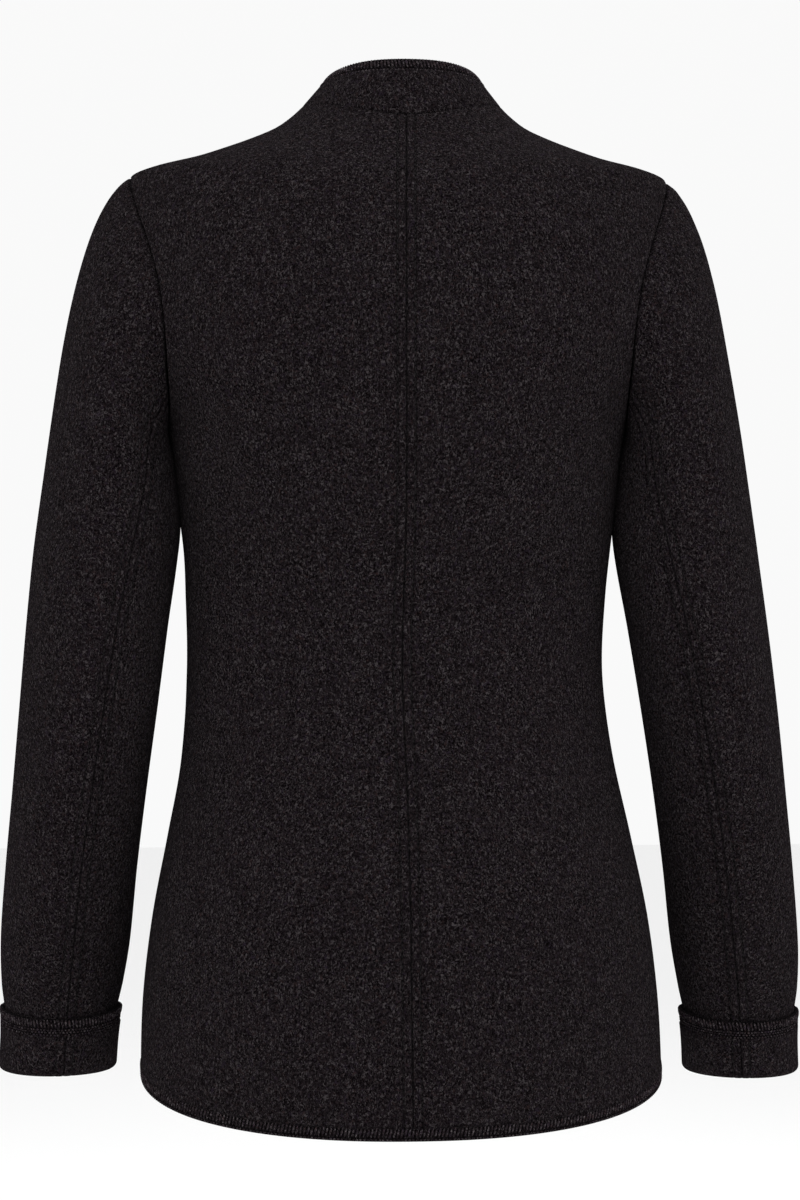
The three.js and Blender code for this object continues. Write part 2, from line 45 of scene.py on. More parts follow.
EYE_TURN = math.radians(176.4)
EYE_AWAY = 2.0
LOOK_AT = Vector((0.0004, 0.0, EYE_LEVEL))
SENSOR = 36
VIEW_WIDE = 0.5634
FLOOR_HALF = 9
FLOOR_LEVEL = -1.3
LIGHTS_AIM = Vector((0, 0, -0.3))
eye = LOOK_AT + EYE_AWAY * Vector((math.sin(EYE_TURN), -math.cos(EYE_TURN), 0))
camera = bpy.data.objects.new("camera", bpy.data.cameras.new("camera"))
camera.data.sensor_fit = "HORIZONTAL"
camera.data.sensor_width = SENSOR
camera.data.lens = SENSOR * EYE_AWAY / VIEW_WIDE
camera.location = eye
camera.rotation_euler = (LOOK_AT - eye).to_track_quat("-Z", "Y").to_euler()
bpy.context.scene.collection.objects.link(camera)
bpy.context.scene.camera = camera
bpy.context.scene.view_settings.view_transform = "Standard"

floor_mesh = bmesh.new()
bmesh.ops.create_grid(floor_mesh, x_segments=1, y_segments=1, size=FLOOR_HALF)
bmesh.ops.translate(floor_mesh, verts=floor_mesh.verts, vec=(0, 0, FLOOR_LEVEL))
floor = bpy.data.objects.new("floor", bpy.data.meshes.new("floor"))
floor_mesh.to_mesh(floor.data)
floor_mesh.free()
bpy.context.scene.collection.objects.link(floor)
floor.data.materials.append(bpy.data.materials.new("pale_floor"))
floor.data.materials[0].use_nodes = True
floor_shader = floor.data.materials[0].node_tree.nodes["Principled BSDF"]
floor_shader.inputs["Base Color"].default_value = (0.9, 0.9, 0.9, 1)
floor_shader.inputs["Roughness"].default_value = 0.9

studio = bpy.data.worlds.new("studio")
bpy.context.scene.world = studio
studio.use_nodes = True
studio.node_tree.nodes["Background"].inputs["Color"].default_value = (1, 1, 1, 1)
studio.node_tree.nodes["Background"].inputs["Strength"].default_value = 0.95


def soft_light(name, place, size, power):
    lamp = bpy.data.objects.new(name, bpy.data.lights.new(name, "AREA"))
    lamp.data.shape = "DISK"
    lamp.data.size = size
    lamp.data.energy = power
    lamp.location = place
    lamp.rotation_euler = (LIGHTS_AIM - Vector(place)).to_track_quat("-Z", "Y").to_euler()
    bpy.context.scene.collection.objects.link(lamp)


soft_light("light_above_back", (0.3, 1.9, 1.7), 1.4, 30)
soft_light("light_above_front", (-0.6, -1.9, 1.7), 1.6, 26)
soft_light("light_from_side", (-2.2, 1.0, 0.4), 1.6, 6)


# ---- Boiled wool ----------------------------------------------------------------------------------------
# The cloth is knitted wool that was fulled until it felted: thick, matt and slightly hairy. Its yarn is a
# melange of near-black, brown-grey and violet-grey fibres with single pale ones on top.
class Wire:
    """A shader socket that takes part in sums."""

    def __init__(self, tree, socket):
        self.tree = tree
        self.socket = socket

    def node(self, kind, settings=None, **inputs):
        made = self.tree.nodes.new(kind)
        for name, value in (settings or {}).items():
            setattr(made, name, value)
        for name, value in inputs.items():
            key = int(name[1:]) if name[0] == "_" else name.replace("_", " ")
            if isinstance(value, Wire):
                self.tree.links.new(value.socket, made.inputs[key])
            else:
                made.inputs[key].default_value = value
        return made

    def out(self, kind, output, settings=None, **inputs):
        return Wire(self.tree, self.node(kind, settings, **inputs).outputs[output])

    def sum(self, operation, first, second):
        return self.out("ShaderNodeMath", 0, {"operation": operation}, _0=first, _1=second)

    def __add__(self, other):
        return self.sum("ADD", self, other)

    def __mul__(self, other):
        return self.sum("MULTIPLY", self, other)

    def rise(self, low, high):
        smooth = {"interpolation_type": "SMOOTHSTEP"}
        return self.out("ShaderNodeMapRange", 0, smooth, Value=self, From_Min=low, From_Max=high)

    def noise(self, scale, detail=3.0, rough=0.6, twist=0.0):
        grain = {"Scale": scale, "Detail": detail, "Roughness": rough, "Distortion": twist}
        return self.out("ShaderNodeTexNoise", "Fac", None, Vector=self, **grain)

    def blend(self, first, second):
        return self.out("ShaderNodeMix", 2, {"data_type": "RGBA"}, _0=self, _6=first, _7=second)


def new_material(name, roughness, gloss=0.5, sheen=0.0):
    material = bpy.data.materials.new(name)
    material.use_nodes = True
    shader = material.node_tree.nodes["Principled BSDF"]
    shader.inputs["Roughness"].default_value = roughness
    shader.inputs["Sheen Weight"].default_value = sheen
    shader.inputs["Specular IOR Level"].default_value = gloss
    place = Wire(material.node_tree, material.node_tree.nodes.new("ShaderNodeTexCoord").outputs["Object"])
    return material, shader, place


def wool_material(name, lift=1.0):
    material, shader, place = new_material(name, 0.95, 0.0, 0.01)
    dark, mid, violet, brown, pale = (
        tuple(channel * lift for channel in colour) + (1,)
        for colour in (
            (0.0016, 0.0010, 0.0013),
            (0.0125, 0.0094, 0.0109),
            (0.0150, 0.0105, 0.0175),
            (0.0225, 0.0130, 0.0125),
            (0.062, 0.054, 0.057),
        )
    )
    clouds = place.noise(38, 3.0).rise(0.36, 0.64)
    tufts = place.noise(640, 3.0, 0.75).rise(0.40, 0.62)
    colour = tufts.blend(dark, mid)
    colour = (place.noise(300, 2.0).rise(0.52, 0.66) * tufts * 0.7).blend(colour, violet)
    warm = place.out("ShaderNodeMapping", 0, None, Vector=place, Location=(3.1, 1.7, 0.4))
    colour = (warm.noise(340, 2.0).rise(0.53, 0.68) * tufts * 0.7).blend(colour, brown)
    for turn, stretch in (((0.6, 0.4, 0.9), (1.0, 2.8, 1.0)), ((1.9, 0.3, 2.2), (2.8, 1.0, 1.0))):
        hairs = place.out("ShaderNodeMapping", 0, None, Vector=place, Rotation=turn, Scale=stretch)
        pale_hairs = hairs.noise(520, 2.0, 0.5, 0.9).rise(0.57, 0.68)
        colour = (pale_hairs * 0.72).blend(colour, pale)
    colour = (clouds * 0.12).blend(colour, mid)
    # Painted shade: the wool is blended towards near-black where it lies deep in a seam or a row of
    # stitches.
    painted_crease_shade = place.out("ShaderNodeAttribute", "Fac", {"attribute_name": "painted_crease_shade"})
    colour = (painted_crease_shade * 0.75).blend(colour, (0.0009, 0.0007, 0.0008, 1))
    material.node_tree.links.new(colour.socket, shader.inputs["Base Color"])
    felt = tufts * 0.45 + place.noise(1500, 2.0) * 0.3 + pale_hairs * 0.35
    bump = place.node("ShaderNodeBump", None, Strength=0.9, Distance=0.0011, Height=felt)
    material.node_tree.links.new(bump.outputs[0], shader.inputs["Normal"])
    return material


wool = wool_material("boiled_wool")

# ---- Back and front panels ------------------------------------------------------------------------------
# Two backs meet in the centre back seam and two fronts lap at the centre front. The seams are pressed
# open; the one at the centre back is stitched down on both sides of the seam, six millimetres from it.
CLOTH = 2.2
GAP = 0.3
TOUCH = 0.03
EDGING_WIDE = 9.0
ROUND = 2.2
HEM = {"back": -703.8, "side": -674.0, "front": -697.0, "power": 0.8}
LAP = {"wide": 15.0, "deep": 4.2, "flat": 18.0, "ramp": 45.0}
NECK = {"half": 70.8, "back": 58.0, "front": 80.0}
NECK_SEARCH = (-120.0, 6.0)
HALVINGS = 34
BODY_COLUMNS = ("z", "half", "back", "front")
BODY = [
    (-720, 182.6, 120, 121), (-670, 182.8, 121, 121), (-620, 180.6, 120, 119), (-565, 173.8, 115, 115),
    (-510, 162.8, 105, 111), (-455, 151.8, 92, 106), (-395, 146.2, 82, 104), (-340, 147.8, 86, 112),
    (-290, 151.6, 96, 124), (-255, 155.2, 103, 130), (-238, 157.3, 105.5, 131), (-224, 160, 107.5, 130.5),
    (-210, 164, 109.2, 129), (-195, 169.5, 110.6, 126.5), (-178, 175.8, 111.5, 122.5),
    (-155, 182.8, 111, 116),
    (-125, 188.6, 107.8, 105.5), (-95, 191.8, 101.5, 92.5), (-70, 191.5, 93.5, 79.5), (-50, 188, 84.5, 69),
    (-44, 174.5, 79.5, 64.5), (-37.5, 148, 75, 60.5), (-30.5, 126.5, 70, 56.5), (-23.5, 107.5, 65, 52.5),
    (-16, 90.5, 60.5, 48.5), (-8, 79.2, 55.5, 44.5), (0, 70.8, 50, 40), (6, 66, 46, 36),
]
ARMHOLE_COLUMNS = ("z", "back", "front")
ARMHOLE = [
    (-224, 160, 160), (-210, 159.2, 159), (-190, 160.2, 158.6), (-160, 162, 160.4), (-130, 166, 164.5),
    (-100, 174, 172.5), (-75, 182.6, 181.6), (-60, 186.8, 186.4), (-50, 188, 188),
]


# The jacket isn't quite even: how far the body and the sleeves lean to the wearer's left, and how much
# higher the left sleeve and lower the right one hang.
SETTLE_COLUMNS = ("z", "body", "sleeve", "lift")
SETTLE = [
    (27, -1.5, -1.5, 0), (-21, 0, 0, 0), (-70, 2, 2, 0), (-110, 2.6, 2.6, 0), (-169, 3.1, 3.1, 0),
    (-225, 2.5, 2.5, 0), (-250, 2.4, 2.4, 0), (-310, 2.4, 2.4, 0.2), (-345, 3.4, 1.8, 0.5),
    (-394, 4, 0.7, 1), (-425, 3.2, 0, 1.4),
    (-480, 1.4, -1, 2), (-563, 0.3, -2.4, 2.8), (-620, 0, -3.5, 3.2), (-700, -1, -3.6, 3.2),
]


def curves(rows, columns):
    """One smooth function of the height for each named column of a table."""
    table = np.array(sorted(rows), dtype=float)
    heights = table[:, 0]

    def reader(values):
        last = len(heights) - 1
        above = np.minimum(np.arange(last + 1) + 1, last)
        below = np.maximum(np.arange(last + 1) - 1, 0)
        slopes = (values[above] - values[below]) / (heights[above] - heights[below])

        def read(z):
            z = np.asarray(z, dtype=float)
            i = np.clip(np.searchsorted(heights, z, side="right") - 1, 0, last - 1)
            span = heights[i + 1] - heights[i]
            t = np.clip((z - heights[i]) / span, 0, 1)
            ends = values[i] * (1 + 2 * t) * (1 - t) ** 2 + values[i + 1] * (3 - 2 * t) * t**2
            return ends + span * t * (1 - t) * (slopes[i] * (1 - t) - slopes[i + 1] * t)

        return read

    return {name: reader(table[:, k + 1]) for k, name in enumerate(columns[1:])}


body = curves(BODY, BODY_COLUMNS)
arm_edge = curves(ARMHOLE, ARMHOLE_COLUMNS)
settle = curves(SETTLE, SETTLE_COLUMNS)


def settled(name, points):
    """Points of the named piece, moved to the place it settles in."""
    on_arm = "sleeve" in name or "cuff" in name
    aside = settle["sleeve" if on_arm else "body"](points[..., 2])
    lift = settle["lift"](points[..., 2]) * (on_arm * (1 if "left" in name else -1))
    return points + np.stack([aside, 0 * aside, lift], axis=-1)


def past_edges(points, reach):
    """The grid with its outermost points moved on outwards, so that no light shows through a seam."""
    points = points.copy()
    for axis in (0, 1):
        grid = points.swapaxes(0, axis)
        for edge, inner in ((0, 1), (-1, -2)):
            step = grid[edge] - grid[inner]
            grid[edge] += step / np.maximum(np.linalg.norm(step, axis=-1, keepdims=True), 1e-3) * reach
    return points


def smoothstep(value, low, high):
    t = np.clip((np.asarray(value, dtype=float) - low) / (high - low), 0, 1)
    return t * t * (3 - 2 * t)


def bell(distance, width):
    return np.exp(-((distance / width) ** 2))


def depth_at(x, z, face):
    u = np.minimum(1, np.abs(x) / body["half"](z))
    deep = body["back" if face > 0 else "front"](z)
    return face * deep * (1 - u**ROUND) ** (1 / ROUND)


def skin(x, z, face, inward=0.0, y=None):
    """Points of the form, moved in along its normal, with that normal."""
    column = "back" if face > 0 else "front"
    y = depth_at(x, z, face) if y is None else y
    half, deep = body["half"](z), body[column](z)
    u, v = np.abs(x) / half, np.abs(y) / deep
    rise = u**ROUND * (body["half"](z + 1) - body["half"](z - 1)) / 2 / half
    rise = rise + v**ROUND * (body[column](z + 1) - body[column](z - 1)) / 2 / deep
    across, out = np.sign(x) * u ** (ROUND - 1) / half, face * v ** (ROUND - 1) / deep
    normal = np.stack([across, out, -rise], axis=-1)
    normal /= np.linalg.norm(normal, axis=-1, keepdims=True)
    start = np.stack([x, face * np.maximum(np.abs(y), TOUCH), z], axis=-1)
    return start - normal * np.asarray(inward)[..., None], normal


def angle_at(x, z):
    u = np.clip(x / body["half"](z), -1, 1)
    return np.arcsin(np.sign(u) * np.abs(u) ** (ROUND / 2))


def across_at(angle, z):
    return body["half"](z) * np.sign(np.sin(angle)) * np.abs(np.sin(angle)) ** (2 / ROUND)


def hem_at(angle, face):
    middle = HEM["back"] if face > 0 else HEM["front"]
    return HEM["side"] + (middle - HEM["side"]) * np.abs(np.cos(angle)) ** HEM["power"]


def tuck(x, face):
    if face > 0:
        return np.zeros_like(x)
    return LAP["deep"] * (1 - smoothstep(x, LAP["flat"], LAP["flat"] + LAP["ramp"]))


def height_at(x, y, face):
    """The height at which the upper part of the form passes through a place, found by halving."""
    low, high = np.full_like(x, NECK_SEARCH[0]), np.full_like(x, NECK_SEARCH[1])
    for _ in range(HALVINGS):
        middle = (low + high) / 2
        u = np.abs(x) / body["half"](middle)
        v = np.abs(y) / body["back" if face > 0 else "front"](middle)
        inside = u**ROUND + v**ROUND < 1
        low, high = np.where(inside, middle, low), np.where(inside, high, middle)
    return low


def neckline(angle):
    """The neckline; 0 is the centre back and pi the centre front."""
    angle = np.asarray(angle, dtype=float)
    turn = np.cos(angle)
    x = NECK["half"] * np.sin(angle)
    y = turn * np.where(turn > 0, NECK["back"], NECK["front"])
    z = np.where(turn > 0, height_at(x, y, 1), height_at(x, y, -1))
    return x, y, z


def along(points):
    """Distance along each line of points."""
    steps = np.linalg.norm(np.diff(points, axis=-2), axis=-1)
    return np.concatenate([np.zeros((*steps.shape[:-1], 1)), np.cumsum(steps, axis=-1)], axis=-1)


def relief(distance, stitched):
    """How far the cloth stands off the form near a seam, pressed open and in some places stitched down."""
    height = -1.25 * bell(distance, 0.8)
    if stitched:
        height = height + 0.38 * (1 - smoothstep(distance, 5.6, 7.6)) - 1.05 * bell(distance - ROW, 0.8)
    return height


def shaded(points, pressed):
    """The points with a fourth value that tells how deep they lie in a seam or a row of stitches, used as a
    mask for painted shade in the wool.
    """
    return np.concatenate([points, np.clip(-pressed / 0.85, 0, 1)[..., None]], axis=-1)


STITCH = 3.6
STITCH_SIZE = (1.25, 0.24, 0.22)
ROW = 6.0
SEAM_STATIONS = [0, 0.5, 1.0, 1.6, 2.6, 3.8, 4.8, 5.4, 6.0, 6.6, 7.2, 8.4, 10.0, 12.5]


def folds(points, rows):
    """Soft troughs and ridges: a place, the direction they run in, and their length, width and depth."""
    height = np.zeros(points.shape[:-1])
    for x, y, z, run, length, width, depth in rows:
        run = np.array(run) / np.linalg.norm(run)
        offset = points - np.array([x, y, z])
        lengthwise = offset @ run
        sideways = np.linalg.norm(offset - lengthwise[..., None] * run, axis=-1)
        height -= depth * bell(lengthwise, length) * bell(sideways, width)
    return height


def cloth_piece(name, points, material, ring=False):
    """A sheet of cloth from a grid of points in millimetres, with its thickness on the inside."""
    rows, columns = points.shape[:2]
    grid = bmesh.new()
    bmesh.ops.create_grid(grid, x_segments=columns - 1, y_segments=rows - 1, size=1, calc_uvs=False)
    # The fourth value is a painted-shade mask for seams and rows of stitches, kept on each vertex.
    painted_crease_shade = grid.verts.layers.float.new("painted_crease_shade")
    order = sorted(grid.verts, key=lambda v: (round(v.co.y, 7), round(v.co.x, 7)))
    deep = points[..., 3] if points.shape[-1] == 4 else np.zeros((rows, columns))
    places = settled(name, points[..., :3]).reshape(-1, 3) / 1000
    for vert, place, value in zip(order, places, deep.ravel()):
        vert.co = place
        vert[painted_crease_shade] = value
    if ring:
        bmesh.ops.remove_doubles(grid, verts=grid.verts, dist=2e-5)
    sheet = bpy.data.meshes.new(name)
    grid.to_mesh(sheet)
    grid.free()
    piece = bpy.data.objects.new(name, sheet)
    bpy.context.scene.collection.objects.link(piece)
    sheet.polygons.foreach_set("use_smooth", [True] * len(sheet.polygons))
    sheet.materials.append(material)
    wall = piece.modifiers.new("thickness", "SOLIDIFY")
    wall.thickness = CLOTH / 1000
    wall.offset = -1
    return piece


def turn_outward(points, normals):
    """The grid with its columns in the order that makes its faces look along the normals."""
    middle = (points.shape[0] // 2, points.shape[1] // 2)
    u = points[middle[0], middle[1] + 1, :3] - points[middle][:3]
    v = points[middle[0] + 1, middle[1], :3] - points[middle][:3]
    return points if np.dot(np.cross(u, v), normals[middle]) > 0 else points[:, ::-1]


NECK_SHARE = 0.35
LAP_SHARE = 0.05
PANEL_LOW = -655.0
SHOULDER_AT = [(0.35, 0), (0.45, 0.14), (0.55, 0.29), (0.66, 0.46), (0.77, 0.64), (0.89, 0.83), (1, 1)]
LEVEL_TOP = -116.8
TIP = -50.0
UNDERARM = -224.0


def panel_rows(face, lap):
    """Lines of (x, z) across a panel from hem to shoulder, each a function of the share of its width."""
    column = "back" if face > 0 else "front"

    def level(z, share, limit):
        edge = angle_at(arm_edge[column](z), z) if limit else np.pi / 2
        x = across_at(np.maximum(share, 0) * edge, z)
        return np.where(share < 0, share * lap / LAP_SHARE, x)

    def bottom(share):
        x = level(np.full_like(share, HEM["side"]), share, False)
        angle = angle_at(x, HEM["side"])
        z = hem_at(angle, face) + EDGING_WIDE + GAP
        return level(z, share, False), z

    def top(share):
        neck = np.pi / 2 * np.clip(share, 0, NECK_SHARE) / NECK_SHARE
        neck = np.where(share < 0, np.arcsin(np.maximum(-share, 0) * lap / LAP_SHARE / NECK["half"]), neck)
        x_neck, _, z_neck = neckline(neck if face > 0 else np.pi - neck)
        spread = np.interp(share, *zip(*SHOULDER_AT))
        x_shoulder = NECK["half"] + (body["half"](TIP) - NECK["half"]) * spread
        z_shoulder = height_at(x_shoulder, 0 * x_shoulder, face)
        on_neck = share < NECK_SHARE
        x = np.where(on_neck, np.where(share < 0, share * lap / LAP_SHARE, x_neck), x_shoulder)
        return x, np.where(on_neck, z_neck, np.where(share > 0.999, TIP, z_shoulder))

    def low(t):
        def row(share):
            x, z = bottom(share)
            z = z + (PANEL_LOW - z) * t
            return level(z, share, False), z

        return row

    def flat(z):
        return lambda share: (level(np.full_like(share, z), share, z > UNDERARM), np.full_like(share, z))

    def upper(t):
        def row(share):
            x0, z0 = flat(LEVEL_TOP)(share)
            x1, z1 = top(share)
            z_edge = LEVEL_TOP + (TIP - LEVEL_TOP) * t
            part = x0 / arm_edge[column](LEVEL_TOP) * (1 - t) + x1 / arm_edge[column](TIP) * t
            return part * arm_edge[column](z_edge), z0 + (z1 - z0) * t

        return row

    heights = [*np.linspace(PANEL_LOW, UNDERARM, 124)[:-1], *np.linspace(UNDERARM, LEVEL_TOP, 32)]
    rows = [low(t) for t in np.linspace(0, 1, 12)[:-1]] + [flat(z) for z in heights]
    return rows + [upper(1 - (1 - s) ** 2) for s in np.linspace(0, 1, 30)[1:]]


UNDERARM_FULLNESS = [
    (157, 0, -238, (0, 0, 1), 26, 16, -1.0),
    (154, 0, -282, (0, 0, 1), 22, 16, -1.2),
    (-157, 0, -238, (0, 0, 1), 26, 16, -1.0),
    (-154, 0, -282, (0, 0, 1), 22, 16, -1.2),
    (160, 0, -231, (0, 0, 1), 8, 12, -1.0),
    (-160, 0, -231, (0, 0, 1), 8, 12, -1.0),
]
BACK_FOLDS = [
    (118, 74, -392, (1, -0.6, 0.25), 46, 9, 1.1),
    (104, 80, -371, (1, -0.5, 0.38), 38, 8, -0.7),
    (-110, 78, -402, (-1, -0.6, 0.18), 52, 10, 1.0),
    (-98, 82, -378, (-1, -0.5, 0.3), 34, 8, -0.6),
    (132, 66, -262, (0.5, -0.2, 1), 52, 13, 1.5),
    (-134, 64, -254, (-0.5, -0.2, 1), 58, 12, 1.3),
    (112, 84, -236, (0.6, -0.2, 1), 40, 12, -0.8),
    (-114, 83, -244, (-0.62, -0.2, 1), 44, 13, -0.9),
    (44, 100, -560, (0.15, 0, 1), 110, 17, 0.9),
    (-62, 98, -590, (-0.2, 0, 1), 95, 19, 1.0),
    (128, 76, -610, (0.16, 0, 1), 90, 15, 1.1),
    (-134, 72, -598, (-0.12, 0, 1), 80, 14, 0.9),
    *UNDERARM_FULLNESS,
]
FRONT_FOLDS = [
    (112, -92, -388, (1, 0.6, 0.25), 44, 9, 1.0),
    (-116, -90, -398, (-1, 0.6, 0.2), 50, 9, 1.1),
    (134, -66, -250, (0.5, 0.2, 1), 52, 13, 1.4),
    (-132, -68, -258, (-0.5, 0.2, 1), 56, 12, 1.5),
    (64, -112, -585, (0.15, 0, 1), 100, 17, 0.9),
    (-72, -110, -570, (-0.18, 0, 1), 96, 18, 1.0),
    *UNDERARM_FULLNESS,
]


def panel(side, face):
    lap = LAP["wide"] - EDGING_WIDE - GAP
    rows = panel_rows(face, lap)
    dense = np.linspace(0 if face > 0 else -LAP_SHARE, 1, 420)
    dense = np.sort(np.concatenate([dense, 1 - np.geomspace(1e-6, 2e-3, 30)]))
    lines = []
    for row in rows:
        x, z = row(dense)
        line, _ = skin(side * x, z, face)
        travelled = along(line)
        total = travelled[-1]
        inner = np.linspace(SEAM_STATIONS[-1], total - SEAM_STATIONS[-1], 40)[1:-1]
        stations = np.concatenate([SEAM_STATIONS, inner, total - np.array(SEAM_STATIONS[::-1])])
        share = np.interp(stations, travelled, dense)
        x, z = row(share)
        x = np.maximum(x, TOUCH) if face > 0 else x
        press = tuck(x, face) if side > 0 else 0 * x
        points, normals = skin(side * x, z, face, press)
        lines.append((points, normals, stations, total - stations))
    points, normals, from_middle, from_side = (np.array(part) for part in zip(*lines))
    upward = along(points.swapaxes(0, 1)).T
    from_top = np.abs(upward - upward[-1])
    pressed = relief(from_side, False) + relief(from_top, False)
    if face > 0:
        pressed = pressed + relief(from_middle, True)
    height = pressed + folds(points, BACK_FOLDS if face > 0 else FRONT_FOLDS)
    return shaded(past_edges(points + normals * height[..., None], 1.0), pressed), normals


ROW_COLUMN = SEAM_STATIONS.index(ROW)
panels = {}
for name, side, face in (
    ("back_left", 1, 1), ("back_right", -1, 1), ("front_left", 1, -1), ("front_right", -1, -1),
):
    panels[name] = panel(side, face)
    piece = cloth_piece(f"{name}_wool", turn_outward(*panels[name]), wool)
    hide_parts(name)
    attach(piece, "root")


# ---- Stitching thread -----------------------------------------------------------------------------------
# The thread is as dark as the cloth and sinks into it, so each stitch shows as a short dash in a small
# dimple.
def thread_material(name, colour, roughness=0.6):
    material, shader, place = new_material(name, roughness, 0.25)
    dark = tuple(channel * 0.55 for channel in colour) + (1,)
    ply = place.noise(1400, 2.0).rise(0.35, 0.65)
    material.node_tree.links.new(ply.blend(dark, (*colour, 1)).socket, shader.inputs["Base Color"])
    return material


sewing_thread = thread_material("sewing_thread", (0.0042, 0.0033, 0.0036))


def strokes(name, places, directions, outs, material, half_length, half_width, half_height, sides=6):
    """Many short rounded strokes in one piece; each lies along a direction and looks out along another."""
    bead = bmesh.new()
    bmesh.ops.create_uvsphere(bead, u_segments=sides, v_segments=4, radius=1)
    bead.verts.ensure_lookup_table()
    shape = np.array([v.co for v in bead.verts])
    corners = [[v.index for v in face.verts] for face in bead.faces]
    bead.free()
    directions = directions / np.linalg.norm(directions, axis=-1, keepdims=True)
    aside = np.cross(outs, directions)
    aside /= np.linalg.norm(aside, axis=-1, keepdims=True)
    up = np.cross(directions, aside)
    lengths = np.broadcast_to(half_length, len(places))[:, None]
    frames = np.stack([aside * half_width, up * half_height, directions * lengths], axis=1)
    points = settled(name, places)[:, None] + np.einsum("vk,nkc->nvc", shape, frames)
    faces = [[i + n * len(shape) for i in face] for n in range(len(places)) for face in corners]
    mesh = bpy.data.meshes.new(name)
    mesh.from_pydata((points.reshape(-1, 3) / 1000).tolist(), [], faces)
    mesh.polygons.foreach_set("use_smooth", [True] * len(mesh.polygons))
    mesh.materials.append(material)
    piece = bpy.data.objects.new(name, mesh)
    bpy.context.scene.collection.objects.link(piece)
    return piece


def stitch_places(line, normals):
    """The places of the stitches along a line, the directions they lie in and the way they look out."""
    travelled = along(line)
    stops = np.arange(STITCH / 2, travelled[-1] - STITCH / 2, STITCH)

    def read(values, at_stops):
        return np.stack([np.interp(at_stops, travelled, values[:, k]) for k in range(3)], axis=-1)

    places = read(line, stops)
    return places, read(line, stops + 1) - places, read(normals, stops)


for name in ("back_left", "back_right"):
    points, normals = panels[name]
    places, directions, outs = stitch_places(points[3:-3, ROW_COLUMN, :3], normals[3:-3, ROW_COLUMN])
    stitches = strokes(f"{name}_topstitching", places, directions, outs, sewing_thread, *STITCH_SIZE)
    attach(stitches, "root")


# ---- Sleeves --------------------------------------------------------------------------------------------
# Each sleeve is cut in two: the upper sleeve goes over the shoulder and the under sleeve lies next to the
# body. The elbow seam runs from the armhole to the cuff and is stitched down on both sides.
SLEEVE_COLUMNS = ("z", "x", "y", "half", "deep")
SLEEVE = [
    (-250, 201.5, 1, 44.7, 60), (-280, 201.8, 3, 48.4, 59.5), (-310, 203.8, 5, 50.3, 58.5),
    (-365, 211.1, 7, 49.2, 56), (-421, 218.3, 5, 48, 53), (-478, 225.8, -3, 46.8, 50.5),
    (-534, 233, -14, 46.2, 48.5), (-588, 239, -27, 45.6, 47), (-620, 242.2, -34.5, 42.8, 44.5),
    (-645, 244, -40, 38.9, 42), (-684, 247, -49, 38.7, 42),
]
SLEEVE_TOP = -250.0
SLEEVE_END = -680.0
SLEEVE_STEP = 100.0
SEAM_TOP = -195.0
FOREARM_STATIONS = [6.0, 4.0, 2.6, 1.6, 1.0, 0.5, 0]
SEAM_COLUMNS = ("z", "elbow", "forearm")
SLEEVE_SEAMS = [(-195, 41, 50), (-250, 52, 52), (-310, 66.5, 54), (-478, 77, 58), (-684, 81, 60)]
tube = curves(SLEEVE, SLEEVE_COLUMNS)
sleeve_seam = curves(SLEEVE_SEAMS, SEAM_COLUMNS)


def armhole(angle):
    z = UNDERARM + (TIP - UNDERARM) * (1 - np.cos(angle)) / 2
    behind = np.sin(angle) >= 0
    x = np.where(behind, arm_edge["back"](z), arm_edge["front"](z))
    return np.stack([x, np.where(behind, depth_at(x, z, 1), depth_at(x, z, -1)), z], axis=-1)


def sleeve_point(angle, down):
    """The left sleeve; down is 0 at the armhole, 1 at the top row of the table, then 1 more each step."""
    angle, down = np.broadcast_arrays(np.asarray(angle, dtype=float), np.asarray(down, dtype=float))

    def level(z):
        x = tube["x"](z) - tube["half"](z) * np.cos(angle)
        return np.stack([x, tube["y"](z) + tube["deep"](z) * np.sin(angle), z + 0 * angle], axis=-1)

    start = armhole(angle) + np.array([TOUCH * 2, 0, 0])
    end = level(SLEEVE_TOP + 0 * angle)
    reach = np.linalg.norm(end - start, axis=-1)
    out = (1 - np.cos(angle)) / 2
    fall = np.radians(30 + 54 * (1 - out) ** 2.5)
    first_reach = reach * (0.36 - 0.215 * out**2)
    first = np.stack([np.cos(fall), 0 * fall, -np.sin(fall)], axis=-1) * first_reach[..., None]
    last = end - level(SLEEVE_TOP - 20 + 0 * angle)
    last = last / np.linalg.norm(last, axis=-1, keepdims=True) * (reach * (0.3 + 0.28 * out))[..., None]
    t = np.clip(down, 0, 1)[..., None]
    head = start * (1 - t) ** 3 + 3 * (start + first) * (1 - t) ** 2 * t
    head = head + 3 * (end + last) * (1 - t) * t**2 + end * t**3
    below = level(SLEEVE_TOP - (np.maximum(down, 1) - 1) * SLEEVE_STEP)
    return np.where(down[..., None] <= 1, head, below)


def sleeve_skin(angle, down, outward=0.0):
    """Points at a distance outside the left sleeve, with its normals."""
    here = sleeve_point(angle, down)
    round_it = sleeve_point(angle + 0.012, down) - sleeve_point(angle - 0.012, down)
    down_it = sleeve_point(angle, down + 0.01) - sleeve_point(angle, np.maximum(down - 0.01, 0))
    normal = np.cross(round_it, down_it)
    normal /= np.linalg.norm(normal, axis=-1, keepdims=True)
    return here + normal * np.asarray(outward)[..., None], normal


def down_at(z):
    return 1 + (SLEEVE_TOP - z) / SLEEVE_STEP


def seam_angle(name, down):
    head = SEAM_TOP + (SLEEVE_TOP - SEAM_TOP) * down
    z = np.where(down < 1, head, SLEEVE_TOP - (down - 1) * SLEEVE_STEP)
    return np.radians(sleeve_seam[name](z))


